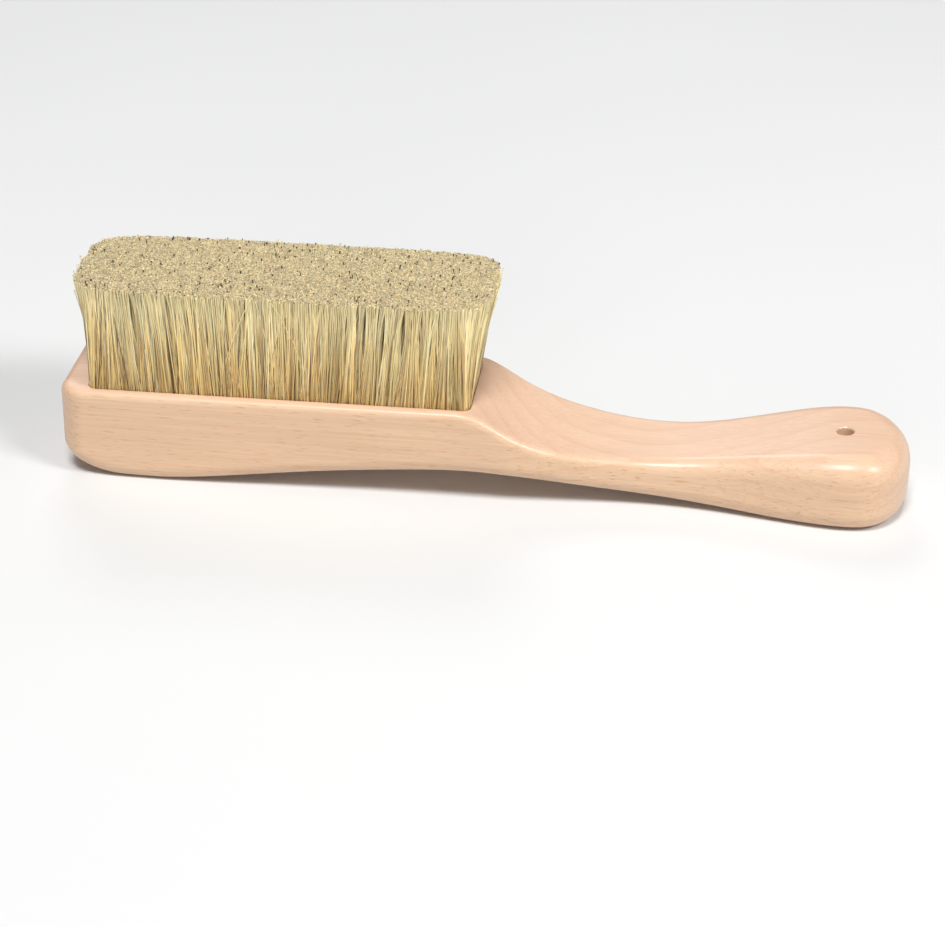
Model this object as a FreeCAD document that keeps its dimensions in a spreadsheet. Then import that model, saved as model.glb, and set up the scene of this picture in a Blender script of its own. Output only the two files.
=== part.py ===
import FreeCAD, Part
import os
import Sketcher

# Long-handled dry body brush, lying on its back with the bristles up, in millimetres.
# X runs along the brush: the head is at -X, the handle at +X. Y runs across, +Z is up and z = 0 is
# the surface that the brush lies on.
#
# The beech body is one piece: a block head with a routed recess, a thin neck and a paddle handle.
# A drilled board, set with tufts of boar bristle, is glued into the recess. Each tuft is folded over
# a flat wire anchor that is driven into its hole.

ROWS = 21             # cross rows of tufts along the head
TUFTS_IN_ROW = 7      # tufts in one cross row
DRAFT = 10            # size at which a shape is first sketched, before its formulas set it
TOLERANCE = 0.01      # for telling edges apart by their size and place

SIZES = {
    # body, side view: the flats it rests on
    "block_width": 60,
    "tip_overrun_x": 156,
    "heel_overrun_x": 160,
    "tip_flat_start_x": 125,
    "tip_flat_end_x": 115,
    "heel_flat_x": 112,
    # body, side view: control points of the rounded tip, below the rim
    "tip_curve_x1": 138,
    "tip_curve_x2": 149,
    "tip_curve_z2": 5,
    "tip_curve_z3": 22,
    # body, side view: rim of the head, and control points of the line over the neck and handle
    "rim_tip_z": 33.4,
    "rim_heel_z": 35.3,
    "rim_end_x": 9,
    "crest_x1": 2,
    "crest_z1": 35.3,
    "crest_x2": 6.8,
    "crest_z2": 28.8,
    "crest_x3": 23,
    "crest_z3": 21,
    "crest_x4": 52,
    "crest_z4": 17.8,
    "crest_x5": 78,
    "crest_z5": 19,
    "crest_x6": 108,
    "crest_z6": 25.2,
    "crest_x7": 134,
    "crest_z7": 28.9,
    "crest_z8": 24.8,
    # body, side view: control points of the arch under the neck
    "arch_x1": 100,
    "arch_x2": 73,
    "arch_z2": 1.8,
    "arch_x3": 37,
    "arch_z3": 6.3,
    "arch_x4": 4,
    "arch_z4": 12.5,
    "arch_x5": 26.5,
    "arch_z5": 10.3,
    "arch_x6": 65.5,
    "arch_z6": 6.4,
    "arch_x7": 104,
    # body, top view
    "tip_x": 149.3,
    "head_half_width": 24.8,
    "tip_corner_radius": 9,
    "head_end_x": 5,
    "side_x1": 11,
    "side_x2": 35,
    "side_y2": 21,
    "side_x3": 55,
    "side_y3": 17.8,
    "side_x4": 82,
    "side_y4": 17.6,
    "side_x5": 117,
    "side_y5": 25.2,
    "side_x6": 139,
    "side_y6": 26.4,
    "side_x7": 148.5,
    "side_y7": 12,
    "side_y8": 4,
    "heel_x": 149.3,
    # body: rounded edges
    "outline_split_z": 14,
    "rim_round": 2.6,
    "handle_top_round": 9.5,
    "head_bottom_round": 5.5,
    "handle_bottom_round": 8,
    # hanging hole
    "hanging_hole_x": 126,
    "hanging_hole_radius": 3,
    "hanging_hole_chamfer": 0.4,
    # recess in the head
    "recess_center_x": 71.4,
    "recess_length": 135.6,
    "recess_width": 43,
    "recess_corner_radius": 4,
    "recess_floor_z": 21,
    # bristle board, on its bed of adhesive
    "board_gap": 0.15,
    "adhesive_thickness": 0.4,
    "board_thickness": 9,
    # tufts and anchors
    "tuft_hole_radius": 2.1,
    "tuft_hole_depth": 7.5,
    "tuft_gap": 0.05,
    "first_row_x": 135.2,
    "last_row_x": 7.6,
    "outer_tuft_y": 18.1,
    "first_row_top_x": 140,
    "last_row_top_x": 1.6,
    "outer_tuft_top_y": 22.9,
    "tuft_top_radius": 3.3,
    "bristle_top_tip_z": 71.4,
    "bristle_top_heel_z": 73.9,
    "anchor_length": 5,
    "anchor_thickness": 0.3,
    "anchor_height": 1.8,
    "anchor_lift": 0.8,
}

# Heights that the board, its tufts and their anchors share.
ADHESIVE_TOP = "Sheet.recess_floor_z + Sheet.adhesive_thickness"
BOARD_TOP = f"{ADHESIVE_TOP} + Sheet.board_thickness"
HOLE_FLOOR = f"{BOARD_TOP} - Sheet.tuft_hole_depth"

doc = FreeCAD.newDocument("dry_body_brush")
sheet = doc.addObject("Spreadsheet::Sheet", "Sheet")
for row, (name, value) in enumerate(SIZES.items(), start=1):
    sheet.set(f"A{row}", name)
    sheet.set(f"B{row}", str(value))
    sheet.setAlias(f"B{row}", name)
doc.recompute()


# ---------------------------------------------------------------- sketching helpers

def origin_feature(body, role):
    """Return the plane or axis of a body's origin that has this role."""
    return next(item for item in body.Origin.OriginFeatures if item.Role == role)


def bind(item, formulas):
    """Tie an object's properties to formulas that read the sheet."""
    for name, formula in formulas.items():
        item.setExpression(name, formula)


def new_sketch(body, name, role, offset=None):
    """Start a sketch on one of the body's origin planes, moved by formulas for x, y or z."""
    sketch = body.newObject("Sketcher::SketchObject", name)
    sketch.AttachmentSupport = [(origin_feature(body, role), "")]
    sketch.MapMode = "FlatFace"
    bind(sketch, {f"AttachmentOffset.Base.{axis}": formula for axis, formula in (offset or {}).items()})
    return sketch


def number(size):
    """Return the value of a size, which may have a minus sign in front."""
    value = SIZES[size.lstrip("-")]
    return -value if size.startswith("-") else value


def vector(place):
    """Return the point of a (size, size) pair, where None stands for a place on the axis."""
    return FreeCAD.Vector(*[number(size) if size else 0 for size in place], 0)


def hold(sketch, geometry, point, place):
    """Tie one point of a sketch to a pair of sheet sizes; None ties it to the axis instead."""
    for axis, direction, size in zip((-2, -1), ("DistanceX", "DistanceY"), place):
        if size is None:
            sketch.addConstraint(Sketcher.Constraint("PointOnObject", geometry, point, axis))
            continue
        name = size.lstrip("-")
        ends = (geometry, point, -1, 1) if size.startswith("-") else (-1, 1, geometry, point)
        index = sketch.addConstraint(Sketcher.Constraint(direction, *ends, SIZES[name]))
        sketch.setExpression(f"Constraints[{index}]", f"Sheet.{name}")


def add_line(sketch, start, end):
    """Draw a line between two held places."""
    line = sketch.addGeometry(Part.LineSegment(vector(start), vector(end)))
    hold(sketch, line, 1, start)
    hold(sketch, line, 2, end)
    return line


def add_curve(sketch, poles):
    """Draw a cubic curve whose control points are held places."""
    curve = Part.BSplineCurve()
    curve.buildFromPoles([vector(pole) for pole in poles], False, 3)
    spline = sketch.addGeometry(curve)
    for index, pole in enumerate(poles):
        marker = sketch.addGeometry(Part.Circle(vector(pole), FreeCAD.Vector(0, 0, 1), 1), True)
        sketch.addConstraint(Sketcher.Constraint("Radius", marker, 1))
        sketch.addConstraint(Sketcher.Constraint(
            "InternalAlignment:Sketcher::BSplineControlPoint", marker, 3, spline, index))
        hold(sketch, marker, 3, pole)
    return spline


def add_rectangle(sketch, length, width):
    """Draw a rectangle about the sketch's origin, its length along X and width given by formulas."""
    half = DRAFT / 2
    corners = [FreeCAD.Vector(x, y, 0)
               for x, y in ((-half, -half), (half, -half), (half, half), (-half, half))]
    lines = [sketch.addGeometry(Part.LineSegment(start, end))
             for start, end in zip(corners, corners[1:] + corners[:1])]
    for line, following in zip(lines, lines[1:] + lines[:1]):
        sketch.addConstraint(Sketcher.Constraint("Coincident", line, 2, following, 1))
    for index, line in enumerate(lines):
        direction = "Vertical" if index % 2 else "Horizontal"
        sketch.addConstraint(Sketcher.Constraint(direction, line))
    sketch.addConstraint(Sketcher.Constraint("Symmetric", lines[0], 1, lines[1], 2, -1, 1))
    for kind, line, formula in (("DistanceX", lines[0], length), ("DistanceY", lines[1], width)):
        index = sketch.addConstraint(Sketcher.Constraint(kind, line, 1, line, 2, DRAFT))
        sketch.setExpression(f"Constraints[{index}]", formula)


def add_circle(sketch, radius):
    """Draw a circle about the sketch's origin, its radius given by a formula."""
    circle = sketch.addGeometry(Part.Circle(FreeCAD.Vector(0, 0, 0), FreeCAD.Vector(0, 0, 1), DRAFT))
    sketch.addConstraint(Sketcher.Constraint("Coincident", circle, 3, -1, 1))
    index = sketch.addConstraint(Sketcher.Constraint("Radius", circle, DRAFT))
    sketch.setExpression(f"Constraints[{index}]", radius)


def new_feature(body, kind, name, profile=None, formulas=None, **settings):
    """Add a feature to a body, with its sketch, its settings and its formulas, and build it."""
    feature = body.newObject(f"PartDesign::{kind}", name)
    if profile:
        feature.Profile = profile
    for key, value in settings.items():
        setattr(feature, key, value)
    bind(feature, formulas or {})
    doc.recompute()
    return feature


def edges_where(feature, test):
    """Return the names of a feature's edges that pass a test."""
    return [f"Edge{index}" for index, edge in enumerate(feature.Shape.Edges, start=1) if test(edge)]


def dress(body, kind, name, test, size):
    """Round or bevel the edges of the body's last feature that pass a test."""
    base = body.Tip
    size_name = "Radius" if kind == "Fillet" else "Size"
    return new_feature(body, kind, name, Base=(base, edges_where(base, test)),
                       formulas={size_name: f"Sheet.{size}"})


def middle(edge):
    """Return the point halfway along an edge."""
    return edge.valueAt((edge.FirstParameter + edge.LastParameter) / 2)


def is_upright(edge):
    """Tell whether an edge is straight up and down."""
    return max(edge.BoundBox.XLength, edge.BoundBox.YLength) < TOLERANCE


# ---------------------------------------------------------------- beech body

def is_on_outline(point):
    """Tell whether a point of the body is on its outer wall, and not inside its top view."""
    recess_end = SIZES["recess_length"] / 2 - SIZES["recess_center_x"]
    beside_recess = abs(point.y) > SIZES["head_half_width"] - SIZES["rim_round"] / 2
    beyond_tip = point.x < SIZES["tip_corner_radius"] - SIZES["tip_x"]
    beside_handle = point.x > recess_end and abs(point.y) > SIZES["side_y4"] / 2
    return beside_recess or beyond_tip or beside_handle


def sketch_side_profile(body):
    """Side view of the body: rounded tip, rim, the line over the handle, and the arch below."""
    sketch = new_sketch(body, "side_profile", "XZ_Plane")
    tip_top = ("-tip_overrun_x", "rim_tip_z")
    rim_end = ("-rim_end_x", "rim_heel_z")
    heel_bottom = ("heel_overrun_x", None)
    tip_curve = [("-tip_flat_start_x", None), ("-tip_curve_x1", None),
                 ("-tip_curve_x2", "tip_curve_z2"), ("-tip_overrun_x", "tip_curve_z3")]
    crest = [rim_end, ("-crest_x1", "crest_z1"), ("crest_x2", "crest_z2"), ("crest_x3", "crest_z3"),
             ("crest_x4", "crest_z4"), ("crest_x5", "crest_z5"), ("crest_x6", "crest_z6"),
             ("crest_x7", "crest_z7"), ("heel_overrun_x", "crest_z8")]
    arch = [("heel_flat_x", None), ("arch_x1", None), ("arch_x2", "arch_z2"), ("arch_x3", "arch_z3"),
            ("arch_x4", "arch_z4"), ("-arch_x5", "arch_z5"), ("-arch_x6", "arch_z6"),
            ("-arch_x7", None), ("-tip_flat_end_x", None)]
    add_curve(sketch, tip_curve)
    add_line(sketch, tip_curve[-1], tip_top)
    add_line(sketch, tip_top, rim_end)
    add_curve(sketch, crest)
    add_line(sketch, crest[-1], heel_bottom)
    add_line(sketch, heel_bottom, arch[0])
    add_curve(sketch, arch)
    add_line(sketch, arch[-1], tip_curve[0])
    return sketch


def sketch_waste(body):
    """Top view of the wood that is cut away round the outline of the body."""
    sketch = new_sketch(body, "waste_outline", "XY_Plane")
    side = [("head_end_x", "head_half_width"), ("side_x1", "head_half_width"), ("side_x2", "side_y2"),
            ("side_x3", "side_y3"), ("side_x4", "side_y4"), ("side_x5", "side_y5"),
            ("side_x6", "side_y6"), ("side_x7", "side_y7"), ("heel_x", "side_y8"), ("heel_x", None)]
    other_side = [(x, f"-{y}" if y else None) for x, y in side]
    tip = ("-tip_x", "head_half_width")
    other_tip = ("-tip_x", "-head_half_width")
    add_curve(sketch, side)
    add_curve(sketch, other_side)
    add_line(sketch, side[0], tip)
    add_line(sketch, tip, other_tip)
    add_line(sketch, other_tip, other_side[0])

    block = [("-heel_overrun_x", "-block_width"), ("heel_overrun_x", "-block_width"),
             ("heel_overrun_x", "block_width"), ("-heel_overrun_x", "block_width")]
    for start, end in zip(block, block[1:] + block[:1]):
        add_line(sketch, start, end)
    return sketch


def round_outer_edges(body):
    """Round the body over all the way along: tightly at the rim, more and more along the handle."""
    head_end = SIZES["head_end_x"]
    handle_length = SIZES["heel_x"] - head_end
    edges = [(index, edge) for index, edge in enumerate(body.Shape.Edges, start=1)
             if not is_upright(edge) and is_on_outline(middle(edge))]
    top = [item for item in edges if middle(item[1]).z > SIZES["outline_split_z"]]
    bottom = [item for item in edges if item not in top]

    roundings = []
    for level, small, large in ((top, "rim_round", "handle_top_round"),
                                (bottom, "head_bottom_round", "handle_bottom_round")):
        # A rounding goes right round the body, in the direction of the first edge that it takes.
        first = level[0][1]
        start, end = [first.valueAt(parameter) for parameter in first.ParameterRange]
        clockwise = (end.x > start.x) == (middle(first).y > 0)
        for index, edge in level:
            radii = [SIZES[small] + (SIZES[large] - SIZES[small])
                     * max(0, vertex.X - head_end) / handle_length for vertex in edge.Vertexes]
            towards_heel = clockwise == (middle(edge).y > 0)
            roundings.append((index, *sorted(radii, reverse=not towards_heel)))
    body_part = doc.addObject("Part::Fillet", "handle_body")
    body_part.Base = body
    body_part.Edges = roundings
    doc.recompute()
    return body_part


def make_handle_body():
    """One piece of beech: block head with a recess, neck, and paddle handle with a hanging hole."""
    body = doc.addObject("PartDesign::Body", "body_blank")
    new_feature(body, "Pad", "block", sketch_side_profile(body), {"Length": "Sheet.block_width"},
                SideType="Symmetric")
    new_feature(body, "Pocket", "outline_cut", sketch_waste(body), Type="ThroughAll",
                SideType="Symmetric")
    dress(body, "Fillet", "tip_corners",
          lambda edge: is_upright(edge) and middle(edge).x < -SIZES["tip_flat_start_x"],
          "tip_corner_radius")

    outline = new_sketch(body, "recess_outline", "XY_Plane",
                         {"x": "-Sheet.recess_center_x", "z": "Sheet.recess_floor_z"})
    add_rectangle(outline, "Sheet.recess_length", "Sheet.recess_width")
    new_feature(body, "Pocket", "recess", outline, Type="ThroughAll", Reversed=True)
    dress(body, "Fillet", "recess_corners",
          lambda edge: is_upright(edge) and not is_on_outline(middle(edge)) and middle(edge).x < 0,
          "recess_corner_radius")

    outline = new_sketch(body, "hanging_hole_outline", "XY_Plane", {"x": "Sheet.hanging_hole_x"})
    add_circle(outline, "Sheet.hanging_hole_radius")
    new_feature(body, "Pocket", "hanging_hole", outline, Type="ThroughAll", SideType="Symmetric")
    dress(body, "Chamfer", "hanging_hole_mouths", is_hanging_hole_mouth, "hanging_hole_chamfer")
    return round_outer_edges(body)


def is_hanging_hole_mouth(edge):
    """Tell whether an edge is one of the two round mouths of the hanging hole."""
    width = 2 * SIZES["hanging_hole_radius"]
    bounds = edge.BoundBox
    return (bounds.Center.x > SIZES["crest_x6"]
            and abs(bounds.XLength - width) < TOLERANCE and abs(bounds.YLength - width) < TOLERANCE)


# ---------------------------------------------------------------- bristle board and its adhesive

def make_plate(name, floor, thickness):
    """A plate that fills the recess's outline, less a gap all round, from one level upward."""
    plate = doc.addObject("PartDesign::Body", name)
    outline = new_sketch(plate, f"{name}_outline", "XY_Plane",
                         {"x": "-Sheet.recess_center_x", "z": floor})
    add_rectangle(outline, "Sheet.recess_length - 2 * Sheet.board_gap",
                  "Sheet.recess_width - 2 * Sheet.board_gap")
    new_feature(plate, "Pad", f"{name}_pad", outline, {"Length": thickness})
    dress(plate, "Fillet", f"{name}_corners", is_upright, "recess_corner_radius")
    return plate


def drill_board(board):
    """Drill a blind hole for every tuft, each with the thin slot that its anchor's ends cut."""
    first = {"x": "-Sheet.first_row_x", "y": "-Sheet.outer_tuft_y", "z": BOARD_TOP}
    circle = new_sketch(board, "tuft_hole_outline", "XY_Plane", first)
    add_circle(circle, "Sheet.tuft_hole_radius")
    hole = new_feature(board, "Pocket", "tuft_hole", circle, {"Length": "Sheet.tuft_hole_depth"})
    slot_outline = new_sketch(board, "anchor_slot_outline", "XY_Plane", first)
    add_rectangle(slot_outline, "Sheet.anchor_length", "Sheet.anchor_thickness")
    slot = new_feature(board, "Pocket", "anchor_slot", slot_outline,
                       {"Length": "Sheet.tuft_hole_depth - Sheet.anchor_lift"})

    pattern = board.newObject("PartDesign::MultiTransform", "tuft_hole_grid")
    steps = (("rows", "X_Axis", ROWS, "Sheet.first_row_x - Sheet.last_row_x"),
             ("columns", "Y_Axis", TUFTS_IN_ROW, "2 * Sheet.outer_tuft_y"))
    transformations = []
    for name, axis, count, length in steps:
        step = board.newObject("PartDesign::LinearPattern", name)
        step.Direction = (origin_feature(board, axis), [""])
        step.Occurrences = count
        step.setExpression("Length", length)
        transformations.append(step)
    pattern.Originals = [hole, slot]
    pattern.Transformations = transformations
    board.Tip = pattern
    doc.recompute()


# ---------------------------------------------------------------- tufts and their anchors

def spread(first, last, index, count):
    """Return the formula for place number index of count places spread evenly between two others."""
    share = index / (count - 1)
    return f"({first}) * {1 - share:.6f} + ({last}) * {share:.6f}"


def add_ring(radius, place):
    """Add a level circle at a place given by formulas for x, y and z."""
    ring = doc.addObject("Part::Circle", "tuft_section")
    bind(ring, {"Radius": radius})
    bind(ring, {f"Placement.Base.{axis}": formula for axis, formula in zip("xyz", place)})
    return ring


def make_tuft(root_x, root_y, top_x, top_y, top_z):
    """One tuft: straight in its blind hole, then leaning and fanning out to its trimmed top."""
    in_hole = "Sheet.tuft_hole_radius - Sheet.tuft_gap"
    tuft = doc.addObject("Part::Loft", "tuft")
    tuft.Sections = [add_ring(in_hole, (root_x, root_y, HOLE_FLOOR)),
                     add_ring(in_hole, (root_x, root_y, BOARD_TOP)),
                     add_ring("Sheet.tuft_top_radius", (top_x, top_y, top_z))]
    tuft.Solid = True
    tuft.Ruled = True
    return tuft


def make_anchor(root_x, root_y):
    """One flat wire anchor across its tuft hole, with its ends biting into the board."""
    anchor = doc.addObject("Part::Box", "anchor")
    bind(anchor, {"Length": "Sheet.anchor_length", "Width": "Sheet.anchor_thickness",
                  "Height": "Sheet.anchor_height",
                  "Placement.Base.x": f"{root_x} - Sheet.anchor_length / 2",
                  "Placement.Base.y": f"{root_y} - Sheet.anchor_thickness / 2",
                  "Placement.Base.z": f"{HOLE_FLOOR} + Sheet.anchor_lift"})
    return anchor


def make_row(row):
    """One cross row: its tufts in one part and their anchors in another, all of them separate."""
    root_x = spread("-Sheet.first_row_x", "-Sheet.last_row_x", row, ROWS)
    top_x = spread("-Sheet.first_row_top_x", "-Sheet.last_row_top_x", row, ROWS)
    top_z = spread("Sheet.bristle_top_tip_z", "Sheet.bristle_top_heel_z", row, ROWS)
    tufts = []
    anchors = []
    for column in range(TUFTS_IN_ROW):
        root_y = spread("-Sheet.outer_tuft_y", "Sheet.outer_tuft_y", column, TUFTS_IN_ROW)
        top_y = spread("-Sheet.outer_tuft_top_y", "Sheet.outer_tuft_top_y", column, TUFTS_IN_ROW)
        tufts.append(make_tuft(root_x, root_y, top_x, top_y, top_z))
        anchors.append(make_anchor(root_x, root_y))
    anchor_row = doc.addObject("Part::Compound", f"anchor_row_{row + 1:02d}")
    anchor_row.Links = anchors
    full_tufts = doc.addObject("Part::Compound", f"full_tufts_{row + 1:02d}")
    full_tufts.Links = tufts
    tuft_row = doc.addObject("Part::Cut", f"tuft_row_{row + 1:02d}")
    tuft_row.Base = full_tufts
    tuft_row.Tool = anchor_row
    return [tuft_row, anchor_row]


# ---------------------------------------------------------------- build, check and write

adhesive_bed = make_plate("adhesive_bed", "Sheet.recess_floor_z", "Sheet.adhesive_thickness")
bristle_board = make_plate("bristle_board", ADHESIVE_TOP, "Sheet.board_thickness")
drill_board(bristle_board)
parts = [make_handle_body(), bristle_board, adhesive_bed]
for row in range(ROWS):
    parts += make_row(row)
doc.recompute()

for item in doc.Objects:
    if "Invalid" in item.State or "Error" in item.State:
        raise RuntimeError(f"{item.Label} did not build: {item.State}")
os.makedirs("parts", exist_ok=True)
for part in parts:
    if part.Shape.isNull() or not part.Shape.isValid():
        raise RuntimeError(f"{part.Label} has no valid shape")
    part.Shape.exportStep(f"parts/{part.Label}.step")
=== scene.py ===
import math

import bpy
import numpy as np
from mathutils import Matrix, Vector


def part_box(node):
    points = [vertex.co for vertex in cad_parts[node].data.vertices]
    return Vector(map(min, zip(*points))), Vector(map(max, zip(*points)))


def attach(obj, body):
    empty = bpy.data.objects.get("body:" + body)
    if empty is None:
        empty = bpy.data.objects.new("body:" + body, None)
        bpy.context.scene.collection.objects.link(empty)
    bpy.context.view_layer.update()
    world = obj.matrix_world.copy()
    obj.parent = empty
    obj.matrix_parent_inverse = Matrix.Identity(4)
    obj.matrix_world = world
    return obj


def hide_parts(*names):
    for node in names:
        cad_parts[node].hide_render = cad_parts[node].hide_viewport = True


# A long-handled beech body brush lying on its back. X runs along it, with the head at -X, and the
# bristles point up. The wood keeps its CAD shape, and the tufts are grown here hair by hair.

MM = 0.001
SEED = 11
FLOOR_REACH = 6.0

# Camera: its angles, its distance from the point it faces, and its focal length in millimetres.
CAMERA_AZIMUTH = math.radians(6.5)
CAMERA_ELEVATION = math.radians(28.5)
CAMERA_ROLL = math.radians(1.12)
CAMERA_DISTANCE = 0.861
CAMERA_AIM = Vector((-0.0012, -0.0306, 0.020))
CAMERA_LENS = 95.2

# Growth rings of the wood: nearly flat layers, tilted across the brush.
RING_NORMAL = Vector((0.004, -0.36, 0.93))
RING_SPACING = 4.3 * MM
RING_WARP = 5.0 * MM

# Bristle field: what it keeps clear of, and its outline at the recess's rim and at the trimmed top.
BOARD_GAP = 0.15 * MM     # between the board and the recess's wall
WALL_GAP = 0.25 * MM      # between the outer hairs' middle and the recess's wall
ANCHOR_THICKNESS = 0.3 * MM
HOLE_RADIUS = 2.0 * MM
ROOT_DEPTH = 1.0 * MM     # of the hairs' roots below the board's top
RIM_TIP_Z = 33.6 * MM     # the recess's rim, at its tip end and at its handle end
RIM_HEEL_Z = 35.1 * MM
RIM_CORNER = 4.0 * MM
TOP_SHIFT = Vector((-0.3 * MM, 2.5 * MM))     # of the trimmed top, from the plain tufts' middle
TOP_SPREAD = Vector((0.6 * MM, -1.2 * MM))    # beyond the plain tufts, to each side
TOP_RAISE = 1.0 * MM      # of the trimmed top above the plain tufts, at the tip end
TOP_SQUARENESS = 6.0      # power of the trimmed top's bowed outline
OUTER_WALL = 0.85         # places in the field run from -1 to 1, and its outer walls start here

# Hairs.
TUFTS_IN_ROW = 7
HAIRS_ALONG = 16          # hairs of one tuft along X
HAIRS_ACROSS = 18         # hairs of one tuft along Y
BUNDLES = 3               # bundles of one tuft each way
HAIR_RADIUS = 0.185 * MM
HAIR_SIDES = 4
SPLIT_END = 1.65          # how much wider a hair's split end is
HAIR_LEVELS = (0, 0.3, 0.6, 0.85, 0.985, 1)   # shares of the height from the recess's rim to the tips
CROSSING = 1.5 * MM       # how far hairs cross each other on their way up, and how far strays do
STRAY_CROSSING = 6.0 * MM
BUNDLE_DRAW = 0.8         # shares of the way to the middle that hairs are drawn, at most
TUFT_DRAW = 0.35
BUNDLE_LEAN = 0.24 * MM
HAIR_LEAN = 0.14 * MM
FLYAWAY_REACH = (0.3 * MM, 1.5 * MM)
SLANT_REACH = 14 * MM     # how far slanting hairs lie along their wall, at most
SLANT_OUT = 0.7 * MM
SWING = 0.2 * MM
EDGE_WEAR = 0.5 * MM      # how far the top's edge is worn down
TRIM_SPREAD = 0.22 * MM   # unevenness of the trimmed top
SHORT_DROP = (0.3 * MM, 4 * MM)
DARK_TIP_RISE = 0.9 * MM  # how far dark tips stand out of the top, at most

STRAY_SHARE = 0.012       # shares of all hairs
SHORT_SHARE = 0.03
DARK_TIP_SHARE = 0.006
FLYAWAY_SHARE = 0.05      # shares of the hairs beyond these places in the field
FLYAWAY_EDGE = 0.95
SLANTING_SHARE = 0.014
SLANTING_EDGE = 0.97

TIP_TINT = np.array([0.28, 0.225, 0.155])     # added to 0.4 of a hair's colour at its cut end, which makes the ends darker: a painted shade on the trimmed top
DARK_TIP = np.array([0.04, 0.025, 0.015])
ROOT_TINT = np.array([0.80, 0.68, 0.53])      # of the hairs at the rim, darker and browner: partly the roots' own colour, partly painted shade among the crowded hairs at the rim
PALE_HAIR = np.array([0.97, 0.87, 0.54])      # what the hairs fade to on their way up: partly paler hair near the tips, partly painted light for the glow and highlights of the upper hairs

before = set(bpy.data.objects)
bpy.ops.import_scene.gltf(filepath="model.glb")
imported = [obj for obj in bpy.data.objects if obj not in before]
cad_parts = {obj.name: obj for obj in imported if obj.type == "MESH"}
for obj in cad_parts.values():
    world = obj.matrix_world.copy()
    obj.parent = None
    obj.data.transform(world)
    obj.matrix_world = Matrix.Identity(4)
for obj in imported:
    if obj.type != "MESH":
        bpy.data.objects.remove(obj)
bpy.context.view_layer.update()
random = np.random.default_rng(SEED)


# ---------------------------------------------------------------- node helpers

class Nodes:
    """A material's node tree, with short calls for adding and joining nodes."""

    def __init__(self, name):
        self.material = bpy.data.materials.new(name)
        self.material.use_nodes = True
        self.tree = self.material.node_tree
        self.shader = self.tree.nodes["Principled BSDF"]

    def add(self, kind, **inputs):
        """Add a node; an input takes a value, or a socket that is linked to it."""
        node = self.tree.nodes.new(f"ShaderNode{kind}")
        for name, value in inputs.items():
            self.set(node, name.replace("_", " "), value)
        return node

    def set(self, node, name, value):
        """Give one input of a node a value or a link."""
        socket = node.inputs[name]
        if isinstance(value, bpy.types.NodeSocket):
            self.tree.links.new(value, socket)
        else:
            socket.default_value = value

    def math(self, operation, first, second=0.0, third=0.0):
        """Add a math node and return its result."""
        node = self.tree.nodes.new("ShaderNodeMath")
        node.operation = operation
        for index, value in enumerate((first, second, third)):
            if isinstance(value, bpy.types.NodeSocket):
                self.tree.links.new(value, node.inputs[index])
            else:
                node.inputs[index].default_value = value
        return node.outputs[0]

    def stretched(self, scale, shift=(0, 0, 0)):
        """Return the object's own coordinates, scaled and shifted; the object is in metres."""
        coordinates = self.add("TexCoord")
        mapping = self.add("Mapping", Vector=coordinates.outputs["Object"], Scale=scale, Location=shift)
        return mapping.outputs[0]

    def noise(self, scale, detail=2.0, shift=(0, 0, 0), roughness=0.5):
        """Return smooth noise with this many cells per metre along X, Y and Z."""
        node = self.add("TexNoise", Vector=self.stretched(scale, shift), Scale=1.0, Detail=detail,
                        Roughness=roughness)
        return node.outputs["Fac"]

    def ramp(self, value, *stops):
        """Return a colour ramp of (position, colour) stops, where a colour may be one grey number."""
        node = self.add("ValToRGB", Fac=value)
        elements = node.color_ramp.elements
        while len(elements) < len(stops):
            elements.new(0.5)
        for element, (position, colour) in zip(elements, stops):
            element.position = position
            element.color = (*colour, 1) if isinstance(colour, tuple) else (colour, colour, colour, 1)
        return node.outputs["Color"]

    def mix(self, factor, first, second, blend="MIX"):
        """Return a mix of two colours."""
        node = self.tree.nodes.new("ShaderNodeMix")
        node.data_type = "RGBA"
        node.blend_type = blend
        for index, value in ((0, factor), (6, first), (7, second)):
            if isinstance(value, bpy.types.NodeSocket):
                self.tree.links.new(value, node.inputs[index])
            else:
                node.inputs[index].default_value = (*value, 1) if isinstance(value, tuple) else value
        return node.outputs[2]

    def bump(self, height, strength, distance):
        """Give the shader a bump from a height."""
        node = self.add("Bump", Height=height, Strength=strength, Distance=distance)
        self.set(self.shader, "Normal", node.outputs["Normal"])


# ---------------------------------------------------------------- materials

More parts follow.
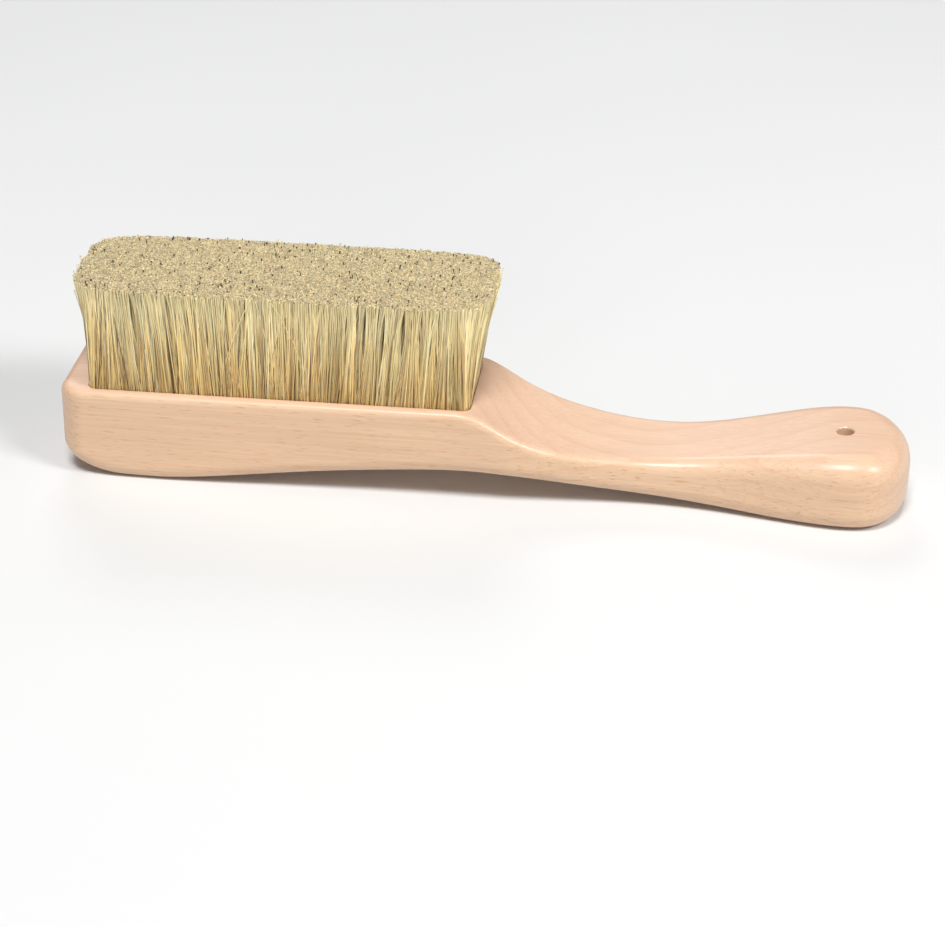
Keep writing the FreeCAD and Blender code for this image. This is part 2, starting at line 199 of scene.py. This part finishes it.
def make_beech():
    """Pale pinkish beech under a satin lacquer, with growth rings, fibres and ray flecks."""
    wood = Nodes("beech")
    warp = wood.noise((12, 26, 26), detail=2)
    coordinates = wood.add("TexCoord")
    tilt = wood.add("VectorMath")
    tilt.operation = "DOT_PRODUCT"
    wood.tree.links.new(coordinates.outputs["Object"], tilt.inputs[0])
    tilt.inputs[1].default_value = RING_NORMAL
    layer = wood.math("MULTIPLY_ADD", warp, RING_WARP, tilt.outputs["Value"])
    ring = wood.math("FRACT", wood.math("DIVIDE", layer, RING_SPACING))
    late_wood = wood.math("POWER", ring, 3.5)

    broad = wood.noise((9, 60, 60), detail=2, shift=(3, 1, 2))
    base = wood.ramp(broad, (0.3, (0.77, 0.515, 0.36)), (0.7, (0.81, 0.56, 0.40)))
    patches = wood.noise((20, 90, 90), detail=1, shift=(4, 8, 1))
    strength = wood.math("MULTIPLY", late_wood, wood.math("MULTIPLY", patches, 0.6))
    ringed = wood.mix(strength, base, (0.70, 0.38, 0.23))
    fibres = wood.noise((26, 1400, 1400), detail=3, roughness=0.6)
    fibred = wood.mix(0.6, ringed, wood.ramp(fibres, (0.3, 0.80), (0.7, 1.0)), blend="MULTIPLY")
    # The sides show the growth rings' edges and have more flecks. They are also multiplied darker and warmer
    # than the top, a painted shade for the weaker light on the sides.
    normal = wood.add("SeparateXYZ", Vector=coordinates.outputs["Normal"])
    sideways = wood.math("ABSOLUTE", normal.outputs["Y"])
    flecks = wood.noise((150, 2100, 2100), detail=1, shift=(7, 5, 9))
    fleck_mask = wood.ramp(flecks, (0.63, 0.0), (0.70, 1.0))
    fleck_strength = wood.math("MULTIPLY_ADD", sideways, 0.35, 0.2)
    flecked = wood.mix(wood.math("MULTIPLY", fleck_mask, fleck_strength), fibred, (0.50, 0.26, 0.14))
    # Painted shade: the more a surface faces sideways, the darker its colour.
    shaded_sides = wood.mix(wood.math("MULTIPLY", sideways, 0.8), flecked, (0.87, 0.855, 0.755), blend="MULTIPLY")
    wood.set(wood.shader, "Base Color", shaded_sides)

    gloss = wood.noise((40, 300, 300), detail=2)
    wood.set(wood.shader, "Roughness", wood.math("MULTIPLY_ADD", gloss, 0.14, 0.36))
    wood.set(wood.shader, "Coat Weight", 0.25)
    wood.set(wood.shader, "Coat Roughness", 0.2)
    wood.bump(fibres, 0.05, 0.2 * MM)
    return wood.material


def make_board_wood():
    """Bare drilled hardwood, browner and rougher than the lacquered body."""
    wood = Nodes("board_wood")
    fibres = wood.noise((30, 900, 900), detail=3)
    wood.set(wood.shader, "Base Color",
             wood.ramp(fibres, (0.3, (0.42, 0.26, 0.14)), (0.7, (0.60, 0.41, 0.25))))
    wood.set(wood.shader, "Roughness", wood.math("MULTIPLY_ADD", fibres, 0.2, 0.6))
    wood.bump(fibres, 0.2, 0.2 * MM)
    return wood.material


def make_glue():
    """Cured wood glue, amber and slightly uneven."""
    glue = Nodes("glue")
    lumps = glue.noise((250, 250, 250), detail=3)
    glue.set(glue.shader, "Base Color",
             glue.ramp(lumps, (0.3, (0.55, 0.43, 0.24)), (0.7, (0.68, 0.56, 0.36))))
    glue.set(glue.shader, "Roughness", glue.math("MULTIPLY_ADD", lumps, 0.2, 0.35))
    glue.bump(lumps, 0.3, 0.1 * MM)
    return glue.material


def make_wire():
    """Flat drawn steel wire, with fine drawing lines."""
    wire = Nodes("anchor_wire")
    lines = wire.noise((300, 9000, 9000), detail=2)
    wire.set(wire.shader, "Base Color", wire.ramp(lines, (0.3, (0.42, 0.42, 0.41)), (0.7, (0.6, 0.6, 0.58))))
    wire.set(wire.shader, "Metallic", 1.0)
    wire.set(wire.shader, "Roughness", wire.math("MULTIPLY_ADD", lines, 0.2, 0.3))
    wire.bump(lines, 0.2, 0.05 * MM)
    return wire.material


def make_bristle():
    """Boar bristle: each hair's colour with its painted shade and light, with fine streaks along it."""
    hair = Nodes("boar_bristle")
    # Each hair's colour along its length, with painted shade at its root and cut end and painted light
    # towards the top.
    own = hair.add("Attribute")
    own.attribute_name = "hair_colour_light_and_shade"
    streaks = hair.noise((2500, 2500, 160), detail=2)
    streaked = hair.mix(0.5, own.outputs["Color"], hair.ramp(streaks, (0.3, 0.78), (0.7, 1.0)),
                        blend="MULTIPLY")
    hair.set(hair.shader, "Base Color", streaked)
    hair.set(hair.shader, "Roughness", hair.math("MULTIPLY_ADD", streaks, 0.2, 0.38))
    hair.set(hair.shader, "Specular IOR Level", 0.3)
    hair.set(hair.shader, "Sheen Weight", 0.5)
    hair.set(hair.shader, "Sheen Roughness", 0.4)
    hair.set(hair.shader, "Sheen Tint", (1.0, 0.86, 0.52, 1))
    hair.bump(streaks, 0.1, 0.05 * MM)
    return hair.material


def make_floor():
    """Plain pale matte surface, with a barely visible unevenness."""
    surface = Nodes("floor")
    cloud = surface.noise((3, 3, 3), detail=1)
    surface.set(surface.shader, "Base Color",
                surface.ramp(cloud, (0.3, (0.715, 0.72, 0.72)), (0.7, (0.735, 0.74, 0.74))))
    surface.set(surface.shader, "Roughness", 0.8)
    return surface.material


# ---------------------------------------------------------------- bristles

def square_to_rounded(place, half_size, corner):
    """Move points of a square, from -1 to 1, into a rectangle with rounded corners."""
    spot = place * half_size
    inner = half_size - corner
    beyond = np.abs(spot) - inner
    in_corner = (beyond > 0).all(axis=-1)
    reach = np.linalg.norm(beyond, axis=-1)
    shrink = beyond.max(axis=-1) / np.where(reach > 0, reach, 1)
    rounded = np.sign(spot) * (inner + beyond * shrink[..., None])
    return np.where(in_corner[..., None], rounded, spot)


def square_to_bowed(place, half_size):
    """Move points of a square, from -1 to 1, into a rectangle with bowed sides and soft corners."""
    largest = np.abs(place).max(axis=-1)
    length = (np.abs(place) ** TOP_SQUARENESS).sum(axis=-1) ** (1 / TOP_SQUARENESS)
    return place * (largest / np.where(length > 0, length, 1))[..., None] * half_size


def square_to_disc(place):
    """Move points of a square, from -1 to 1, into a disc of radius 1."""
    reach = np.linalg.norm(place, axis=-1)
    return place * (np.abs(place).max(axis=-1) / np.where(reach > 0, reach, 1))[..., None]


def hair_palette(count):
    """Pick a colour for every hair: mostly cream, some straw, white, brown or near black."""
    kinds = np.array([(0.92, 0.735, 0.36), (0.84, 0.62, 0.27), (0.96, 0.87, 0.56),
                      (0.50, 0.33, 0.15), (0.20, 0.10, 0.05), (0.07, 0.045, 0.03)])
    picked = random.choice(len(kinds), count, p=(0.50, 0.18, 0.18, 0.10, 0.032, 0.008))
    shade = np.minimum(random.normal(1.02, 0.22, (count, 1)), 1.12)
    return np.clip(kinds[picked] * shade, 0.02, 0.97)


def paint_hairs(mesh, colours):
    """Give every corner of every hair the colour of its level."""
    paint = mesh.attributes.new("hair_colour_light_and_shade", "FLOAT_COLOR", "POINT")
    shades = np.repeat(colours.reshape(-1, 3), HAIR_SIDES, axis=0)
    paint.data.foreach_set("color", np.column_stack([shades, np.ones(len(shades))]).ravel())


def map_hairs(mesh, count, levels, corners):
    """Give every hair its own narrow cell in the texture map, with its root at the bottom."""
    cells = math.ceil(math.sqrt(count))
    column, line = np.divmod(np.arange(count), cells)
    height = (corners // HAIR_SIDES) / (levels - 1)
    width = (corners % HAIR_SIDES) / (HAIR_SIDES - 1)
    across = (column[:, None] + 0.2 + 0.6 * width) / cells
    upward = (line[:, None] + 0.1 + 0.8 * height) / cells
    texture_map = mesh.uv_layers.new(name="OFBake")
    texture_map.data.foreach_set("uv", np.stack([across, upward], axis=-1).astype(np.float32).ravel())


def hair_mesh(name, paths, radii, colours):
    """Make one mesh of closed hairs that follow their paths; each has its own radii and colours."""
    count, levels = radii.shape
    turn = random.uniform(0, math.tau, (count, 1, 1)) + np.arange(HAIR_SIDES) * math.tau / HAIR_SIDES
    circle = np.stack([np.cos(turn), np.sin(turn), np.zeros_like(turn)], axis=-1)
    vertices = (paths[:, :, None] + circle * radii[:, :, None, None]).reshape(-1, 3)

    # The faces of one hair: a ring of quads for each step up, then a cap at each end.
    side = np.arange(HAIR_SIDES)
    following = (side + 1) % HAIR_SIDES
    ring = np.stack([side, following, following + HAIR_SIDES, side + HAIR_SIDES], axis=-1)
    walls = (ring + HAIR_SIDES * np.arange(levels - 1)[:, None, None]).reshape(-1)
    caps = np.concatenate([side[::-1], side + HAIR_SIDES * (levels - 1)])
    corners = np.concatenate([walls, caps])
    sizes = np.array([4] * HAIR_SIDES * (levels - 1) + [HAIR_SIDES] * 2)
    all_corners = corners + np.arange(count)[:, None] * levels * HAIR_SIDES
    starts = np.cumsum(np.tile(sizes, count)) - np.tile(sizes, count)

    mesh = bpy.data.meshes.new(name)
    mesh.vertices.add(len(vertices))
    mesh.vertices.foreach_set("co", vertices.astype(np.float32).ravel())
    mesh.loops.add(all_corners.size)
    mesh.loops.foreach_set("vertex_index", all_corners.astype(np.int32).ravel())
    mesh.polygons.add(len(starts))
    mesh.polygons.foreach_set("loop_start", starts.astype(np.int32))
    paint_hairs(mesh, colours)
    map_hairs(mesh, count, levels, corners)
    mesh.update(calc_edges=True)
    return mesh


def add_piece(name, mesh, material):
    """Put a mesh in the scene as a piece of the object."""
    piece = bpy.data.objects.new(name, mesh)
    bpy.context.scene.collection.objects.link(piece)
    mesh.materials.append(material)
    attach(piece, "root")
    return piece


def find_field(rows):
    """Return the middle and the half size of the bristle field, at the rim and at the trimmed top."""
    first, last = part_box(rows[0]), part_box(rows[-1])
    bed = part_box("adhesive_bed")
    rim_center = np.array([(bed[0].x + bed[1].x) / 2, 0])
    rim_half = np.array([bed[1].x - bed[0].x, bed[1].y - bed[0].y]) / 2 + BOARD_GAP - WALL_GAP
    top_center = np.array([(first[0].x + last[1].x) / 2, 0]) + TOP_SHIFT
    top_half = np.array([last[1].x - first[0].x, last[1].y - last[0].y]) / 2 + TOP_SPREAD
    return rim_center, rim_half, top_center, top_half


def place_hairs(index, row_count):
    """Spread one row's hairs evenly: return each one's tuft, and its place in the tuft and the field."""
    grid = np.stack(np.meshgrid(np.arange(HAIRS_ALONG), np.arange(HAIRS_ACROSS), indexing="ij"),
                    axis=-1).reshape(-1, 2)
    tuft = np.repeat(np.arange(TUFTS_IN_ROW), len(grid))
    jitter = random.uniform(0.1, 0.9, (len(tuft), 2))
    local = (np.tile(grid, (TUFTS_IN_ROW, 1)) + jitter) / (HAIRS_ALONG, HAIRS_ACROSS)
    cell = np.stack([index + local[:, 0], tuft + local[:, 1]], axis=-1)
    place = cell / (row_count, TUFTS_IN_ROW) * 2 - 1
    return tuft, local, place


def root_hairs(row, tuft, local):
    """Return the hairs' roots, each in its own tuft's hole."""
    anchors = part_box(row.replace("tuft", "anchor"))
    hole_x = (anchors[0].x + anchors[1].x) / 2
    outer_hole_y = anchors[1].y - ANCHOR_THICKNESS / 2
    hole_y = outer_hole_y * (2 * tuft / (TUFTS_IN_ROW - 1) - 1)
    holes = np.stack([np.full(len(tuft), hole_x), hole_y], axis=-1)
    return square_to_disc(local * 2 - 1) * HOLE_RADIUS * 0.9 + holes


def cross_hairs(across_wall):
    """Return how far hairs cross others on their way up; those of an outer wall cross along it."""
    crossing = random.normal(0, CROSSING, across_wall.shape) * np.where(across_wall, 0.2, 1)
    stray = random.random(len(crossing)) < STRAY_SHARE
    crossing[stray] *= STRAY_CROSSING / CROSSING
    return crossing


def draw_together(tuft, local, in_bundle, tuft_size):
    """Return how far hairs are drawn into bundles half-way up, with dark gaps between them."""
    bundle_center = ((local * BUNDLES).astype(int) + 0.5) / BUNDLES
    draw = BUNDLE_DRAW * random.power(0.45, (TUFTS_IN_ROW * BUNDLES ** 2, 1))[in_bundle]
    pull = (bundle_center - local) * draw * tuft_size
    tuft_draw = random.uniform(0, TUFT_DRAW, (TUFTS_IN_ROW, 1))[tuft]
    return pull + (0.5 - local) * tuft_draw * tuft_size


def lean_hairs(place, edge, across_wall, in_bundle):
    """Return how far hairs lean at the top, by bundles and singly."""
    hairs = len(place)
    bundle_lean = random.normal(0, BUNDLE_LEAN, (TUFTS_IN_ROW * BUNDLES ** 2, 2))[in_bundle]
    own_lean = random.normal(0, HAIR_LEAN, (hairs, 2)) * np.where(across_wall, 0.6, 1)
    flyaway = (edge > FLYAWAY_EDGE) & (random.random(hairs) < FLYAWAY_SHARE)
    outward = across_wall * np.sign(place) + random.normal(0, 0.5, (hairs, 2))
    own_lean[flyaway] += outward[flyaway] * random.uniform(*FLYAWAY_REACH, (flyaway.sum(), 1))
    # A few hairs of the outer walls lie slantwise over their neighbours, towards the middle.
    slanting = (edge > SLANTING_EDGE) & (random.random(hairs) < SLANTING_SHARE)
    along_wall = across_wall[:, ::-1] * -np.sign(place) * random.uniform(0, SLANT_REACH, (hairs, 1))
    own_lean[slanting] = (along_wall + outward * SLANT_OUT)[slanting]
    return bundle_lean + own_lean


def trim_hairs(edge):
    """Return how far hairs end below the top: more at its edge, and most when they are short ones."""
    drop = EDGE_WEAR * edge ** 10 + np.abs(random.normal(0, TRIM_SPREAD, len(edge)))
    short = random.random(len(edge)) < SHORT_SHARE
    drop[short] += random.uniform(*SHORT_DROP, short.sum())
    return drop


def colour_hairs(in_bundle):
    """Return every hair's colours from its root to its tip, and which hairs have a dark tip."""
    hairs = len(in_bundle)
    own_colour = hair_palette(hairs)
    colour = own_colour * random.normal(0.96, 0.1, (TUFTS_IN_ROW * BUNDLES ** 2, 1))[in_bundle]
    # The cut ends are darker than the hairs, a painted shade on the trimmed top; the random factor only
    # varies their tone.
    tip_colour = (colour * 0.4 + TIP_TINT) * random.normal(0.96, 0.3, (hairs, 1))
    dark_tip = random.random(hairs) < DARK_TIP_SHARE
    tip_colour[dark_tip] = DARK_TIP

    height = np.array((0, *HAIR_LEVELS))[:, None]
    # Darker towards the rim: partly the roots' own colour, partly painted shade.
    tint = ROOT_TINT + (1 - ROOT_TINT) * np.minimum(1, height / 0.75)
    # Paler from half-way up: partly the hairs' own colour, partly painted light.
    pale = 1.4 * np.maximum(0, height - 0.5)
    shades = colour[:, None] * tint * (1 - pale) + PALE_HAIR * pale
    shades[:, -1] = np.clip(tip_colour, 0.02, 0.97)
    shades[dark_tip, -2] = DARK_TIP
    return shades, dark_tip


def grow_row(row, index, row_count, field):
    """Make the mesh of one tuft row's hairs."""
    rim_center, rim_half, top_center, top_half = field
    share = index / (row_count - 1)
    rim_z = RIM_TIP_Z + (RIM_HEEL_Z - RIM_TIP_Z) * share
    top_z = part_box(row)[1].z + TOP_RAISE * (1 - share)

    tuft, local, place = place_hairs(index, row_count)
    hairs = len(tuft)
    bundle = (local * BUNDLES).astype(int)
    in_bundle = (tuft * BUNDLES + bundle[:, 0]) * BUNDLES + bundle[:, 1]
    edge = np.abs(place).max(axis=-1)
    across_wall = (np.abs(place) == edge[:, None]) & (edge[:, None] > OUTER_WALL)

    spot = np.clip(place + cross_hairs(across_wall) / rim_half, -1, 1)
    at_rim = rim_center + square_to_rounded(spot, rim_half, RIM_CORNER)
    at_top = top_center + square_to_bowed(place, top_half)
    pull = draw_together(tuft, local, in_bundle, 2 * top_half / (row_count, TUFTS_IN_ROW))
    lean = lean_hairs(place, edge, across_wall, in_bundle)

    drop = trim_hairs(edge)
    shades, dark_tip = colour_hairs(in_bundle)
    tip_z = top_z - drop
    tip_z[dark_tip] = top_z - drop[dark_tip] * 0.5 + random.uniform(0, DARK_TIP_RISE, dark_tip.sum())
    swing = random.normal(0, SWING, (hairs, 2))
    phase = random.uniform(0, math.tau, (hairs, 1))
    thickness = HAIR_RADIUS * np.clip(random.normal(1, 0.16, hairs), 0.6, 1.5)
    flare = np.array([1] * len(HAIR_LEVELS) + [SPLIT_END])

    root_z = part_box("bristle_board")[1].z - ROOT_DEPTH
    paths = [np.column_stack([root_hairs(row, tuft, local), np.full(hairs, root_z)])]
    for height in HAIR_LEVELS:
        flat = at_rim + (at_top - at_rim) * height + lean * height ** 1.5
        flat += pull * math.sin(math.pi * height ** 1.3)
        flat += swing * np.sin(phase + height * 5) * min(1, height * 3)
        paths.append(np.column_stack([flat, rim_z + (tip_z - rim_z) * height]))
    return hair_mesh(row, np.stack(paths, axis=1), thickness[:, None] * flare, shades)


def grow_bristles():
    """Grow every tuft row hair by hair, and put each in the place of its plain CAD row."""
    rows = sorted(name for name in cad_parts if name.startswith("tuft_row_"))
    field = find_field(rows)
    material = make_bristle()
    for index, row in enumerate(rows):
        piece = add_piece(row.replace("tuft", "bristle"), grow_row(row, index, len(rows), field),
                          material)
        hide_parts(row)


# ---------------------------------------------------------------- scene

def dress_cad():
    """Give the CAD pieces that stay visible their materials."""
    materials = {"handle_body": make_beech(), "bristle_board": make_board_wood(),
                 "adhesive_bed": make_glue()}
    wire = make_wire()
    for name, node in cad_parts.items():
        material = wire if name.startswith("anchor_row_") else materials.get(name)
        if material:
            node.data.materials.clear()
            node.data.materials.append(material)


def add_floor():
    """Add the pale surface that the brush lies on."""
    mesh = bpy.data.meshes.new("floor")
    corners = [(x * FLOOR_REACH, y * FLOOR_REACH, 0) for x, y in ((-1, -1), (1, -1), (1, 1), (-1, 1))]
    mesh.from_pydata(corners, [], [(0, 1, 2, 3)])
    mesh.materials.append(make_floor())
    floor = bpy.data.objects.new("floor", mesh)
    bpy.context.scene.collection.objects.link(floor)


def add_light(name, location, target, size, power, colour=(1, 1, 1)):
    """Add a soft rectangular light that faces a target."""
    data = bpy.data.lights.new(name, "AREA")
    data.shape = "RECTANGLE"
    data.size, data.size_y = size
    data.energy = power
    data.color = colour
    light = bpy.data.objects.new(name, data)
    light.location = location
    light.rotation_mode = "QUATERNION"
    light.rotation_quaternion = (Vector(target) - Vector(location)).to_track_quat("-Z", "Y")
    bpy.context.scene.collection.objects.link(light)


def add_lights():
    """Soft studio light: a box overhead, weaker ones around the brush, and a dim room."""
    add_light("key", (-0.1, -1.95, 4.0), (0, 0, 0), (1.3, 1.1), 157)
    add_light("front_fill", (-0.3, -2.6, 0.9), (0, 0, 0.03), (1.4, 1.0), 11)
    add_light("right_fill", (1.3, -0.75, 1.5), (0, 0, 0), (0.6, 0.6), 24, (1, 0.99, 0.98))
    add_light("back_fill", (-0.5, 1.9, 1.7), (-0.25, 0.7, 0), (0.9, 0.9), 14)
    world = bpy.data.worlds.new("room")
    world.use_nodes = True
    background = world.node_tree.nodes["Background"]
    background.inputs["Color"].default_value = (0.98, 0.99, 1.0, 1)
    background.inputs["Strength"].default_value = 0.06
    bpy.context.scene.world = world


def add_camera():
    """Place the camera above the brush's long side, a little turned towards the handle."""
    azimuth, elevation, roll = CAMERA_AZIMUTH, CAMERA_ELEVATION, CAMERA_ROLL
    back = Vector((math.sin(azimuth) * math.cos(elevation),
                   -math.cos(azimuth) * math.cos(elevation), math.sin(elevation)))
    right = Vector((math.cos(azimuth), math.sin(azimuth), 0))
    up = back.cross(right)
    rolled_right = right * math.cos(roll) + up * math.sin(roll)
    rolled_up = up * math.cos(roll) - right * math.sin(roll)
    data = bpy.data.cameras.new("camera")
    data.lens = CAMERA_LENS
    data.sensor_width = 36
    camera = bpy.data.objects.new("camera", data)
    turn = Matrix((rolled_right, rolled_up, back)).transposed().to_4x4()
    camera.matrix_world = Matrix.Translation(CAMERA_AIM + back * CAMERA_DISTANCE) @ turn
    bpy.context.scene.collection.objects.link(camera)
    bpy.context.scene.camera = camera


bpy.context.scene.view_settings.view_transform = "Standard"
dress_cad()
grow_bristles()
add_floor()
add_lights()
add_camera()

bpy.context.view_layer.update()
